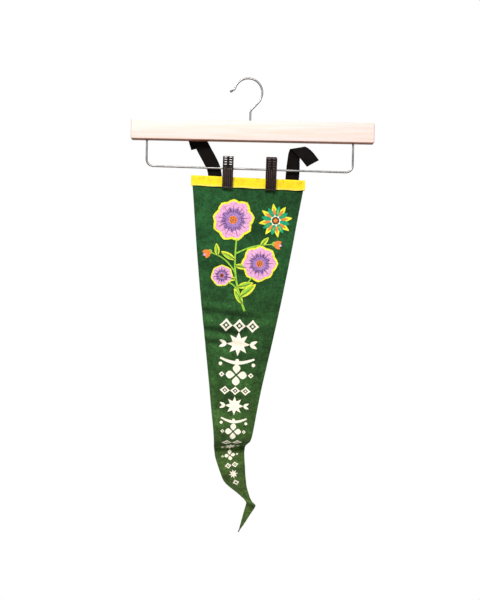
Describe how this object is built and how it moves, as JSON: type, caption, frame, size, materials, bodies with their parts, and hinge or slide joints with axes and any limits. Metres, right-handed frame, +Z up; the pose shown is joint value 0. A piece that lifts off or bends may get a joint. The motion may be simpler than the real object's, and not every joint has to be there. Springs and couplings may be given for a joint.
{
  "type": "pennant flag on a clip hanger",
  "caption": "Long felt triangle hung point down by its yellow heading from two spring clips on a wooden bar hanger with a wire hook, with two ribbon ties.",
  "frame": {"origin": "top of the inside of the hook, where it bears on the nail or rail that holds it", "axes": "+Z up, front of the flag towards -Y, +X to the right seen from the front"},
  "size_m": [0.355, 0.0339, 0.664],
  "materials": {
    "bar_wood": "pale lacquered beech",
    "wire_steel": "drawn steel wire",
    "spring_steel": "coiled spring wire",
    "clip_plastic": "glossy black moulded plastic",
    "green_felt": "matt wool felt with a print",
    "yellow_felt": "matt wool felt",
    "black_ribbon": "ribbed grosgrain ribbon"
  },
  "bodies": {
    "root": {"wood_bar": "bar_wood", "hook_wire": "wire_steel", "wire_bar": "wire_steel", "clip_left_front": "clip_plastic", "clip_left_back": "clip_plastic", "clip_left_spring": "spring_steel", "clip_right_front": "clip_plastic", "clip_right_back": "clip_plastic", "clip_right_spring": "spring_steel", "felt_pennant": "green_felt", "heading_band": "yellow_felt", "tie_left": "black_ribbon", "tie_right": "black_ribbon"}
  },
  "joints": []
}
